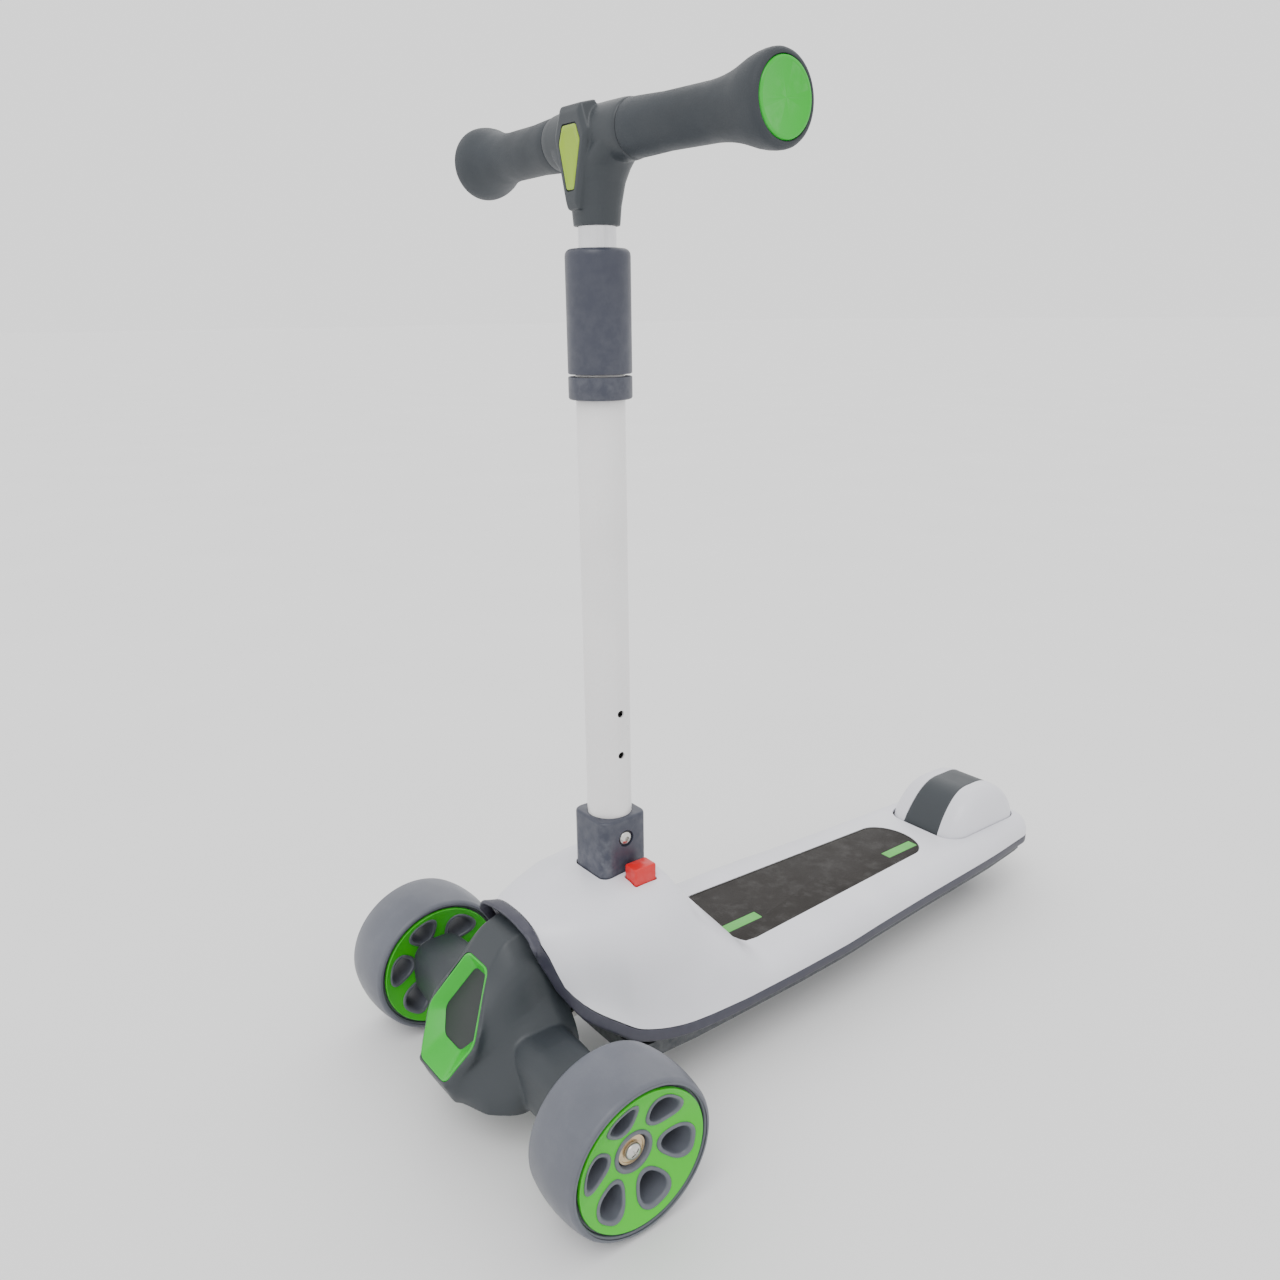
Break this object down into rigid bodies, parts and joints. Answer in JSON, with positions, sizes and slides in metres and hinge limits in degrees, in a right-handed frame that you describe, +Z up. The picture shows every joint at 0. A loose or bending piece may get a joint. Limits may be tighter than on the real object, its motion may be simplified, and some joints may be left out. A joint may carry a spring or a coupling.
{
  "type": "three-wheeled kick scooter",
  "caption": "Child's kick scooter with a lean-to-steer front truck, push-in stem, twist-clamped height-adjustable T-bar, mat-topped deck and a foot brake over the rear wheel.",
  "frame": {"origin": "middle of the scooter's overall footprint, on the ground it stands on", "axes": "+Z up; -Y is the riding direction, so the front truck is at -Y and the brake at +Y; +X is the side of the release button"},
  "size_m": [0.3312, 0.676, 0.7193],
  "materials": {
    "white_plastic": "satin moulded plastic",
    "white_paint": "smooth white powder coat",
    "slate_plastic": "fine-grained dark moulded plastic",
    "strip_plastic": "satin dark moulded plastic",
    "collar_plastic": "satin dark moulded plastic",
    "mat_rubber": "gritty non-slip surface",
    "mark_green": "matt printed inlay",
    "bush_rubber": "plain moulded rubber",
    "tyre_grey": "smooth solid urethane",
    "wheel_grey": "moulded nylon",
    "wheel_green": "moulded green plastic",
    "cap_green": "moulded green plastic",
    "inlay_green": "moulded yellow-green plastic",
    "red_plastic": "moulded red plastic",
    "aluminium": "drawn and polished",
    "steel": "zinc-plated",
    "spring_steel": "drawn wire"
  },
  "bodies": {
    "deck": {"upper_shell": "white_plastic", "edge_strip": "strip_plastic", "lower_tray": "slate_plastic", "deck_mat": "mat_rubber", "mat_mark_front": "mark_green", "mat_mark_rear": "mark_green", "rear_axle_bolt": "steel", "rear_axle_nut": "steel", "brake_pin": "steel", "brake_spring": "spring_steel", "pivot_bracket": "steel", "centring_bush": "bush_rubber", "kingpin": "steel", "kingpin_nut": "steel", "stem_receiver": "slate_plastic", "button_spring": "spring_steel", "deck_screw_1": "steel", "deck_screw_2": "steel", "deck_screw_3": "steel", "deck_screw_4": "steel"},
    "front_truck": {"truck_beam": "aluminium", "front_shell": "slate_plastic", "front_bezel": "cap_green", "left_axle_bolt": "steel", "right_axle_bolt": "steel", "left_axle_spacer": "steel", "right_axle_spacer": "steel"},
    "left_front_wheel": {"left_wheel_tyre": "tyre_grey", "left_wheel_core": "wheel_grey", "left_wheel_outer_disc": "wheel_green", "left_wheel_inner_disc": "wheel_green", "left_wheel_bearings": "steel"},
    "right_front_wheel": {"right_wheel_tyre": "tyre_grey", "right_wheel_core": "wheel_grey", "right_wheel_outer_disc": "wheel_green", "right_wheel_inner_disc": "wheel_green", "right_wheel_bearings": "steel"},
    "rear_wheel": {"rear_tyre": "tyre_grey", "rear_core": "wheel_grey", "rear_bearings": "steel"},
    "brake": {"brake_cover": "white_plastic", "brake_strip": "slate_plastic", "brake_shoe": "steel"},
    "release_button": {"release_button": "red_plastic"},
    "stem": {"socket_block": "collar_plastic", "stem_tube": "white_paint", "socket_bolt": "steel", "socket_nut": "steel", "clamp_ring": "collar_plastic", "clamp_collet": "slate_plastic"},
    "clamp_sleeve": {"twist_sleeve": "collar_plastic"},
    "handlebar": {"inner_tube": "aluminium", "tube_guide": "slate_plastic", "bar_rod": "steel", "handlebar_hub": "slate_plastic", "badge_inlay": "inlay_green", "left_grip": "slate_plastic", "right_grip": "slate_plastic", "left_end_cap": "cap_green", "right_end_cap": "cap_green"}
  },
  "joints": [
    {"name": "steering", "type": "hinge", "parent": "deck", "child": "front_truck", "pos_m": [0, -0.24, 0.1], "axis": [0, -0.4226, 0.9063], "range_deg": [-8, 8], "stiffness_Nm_per_rad": 20},
    {"name": "left_front_wheel_spin", "type": "hinge", "parent": "front_truck", "child": "left_front_wheel", "pos_m": [0.1395, -0.27, 0.06], "axis": [1, 0, 0], "continuous": true},
    {"name": "right_front_wheel_spin", "type": "hinge", "parent": "front_truck", "child": "right_front_wheel", "pos_m": [-0.1395, -0.27, 0.06], "axis": [1, 0, 0], "continuous": true},
    {"name": "rear_wheel_spin", "type": "hinge", "parent": "deck", "child": "rear_wheel", "pos_m": [0, 0.265, 0.05], "axis": [1, 0, 0], "continuous": true},
    {"name": "brake_press", "type": "hinge", "parent": "deck", "child": "brake", "pos_m": [0, 0.209, 0.064], "axis": [-1, 0, 0], "range_deg": [0, 4], "stiffness_Nm_per_rad": 8, "springref_deg": -5.73},
    {"name": "button_press", "type": "slide", "parent": "deck", "child": "release_button", "axis": [0, 0, -1], "range_m": [0, 0.004], "stiffness_N_per_m": 800, "springref_m": -0.001, "deforming": ["button_spring"]},
    {"name": "stem_lift_out", "type": "slide", "parent": "deck", "child": "stem", "axis": [0, 0, 1], "range_m": [0, 0.09]},
    {"name": "sleeve_twist", "type": "hinge", "parent": "stem", "child": "clamp_sleeve", "pos_m": [0, -0.1738, 0.6], "axis": [0, 0, 1], "range_deg": [0, 110]},
    {"name": "handlebar_height", "type": "slide", "parent": "stem", "child": "handlebar", "axis": [0, 0, 1], "range_m": [0, 0.15]}
  ]
}
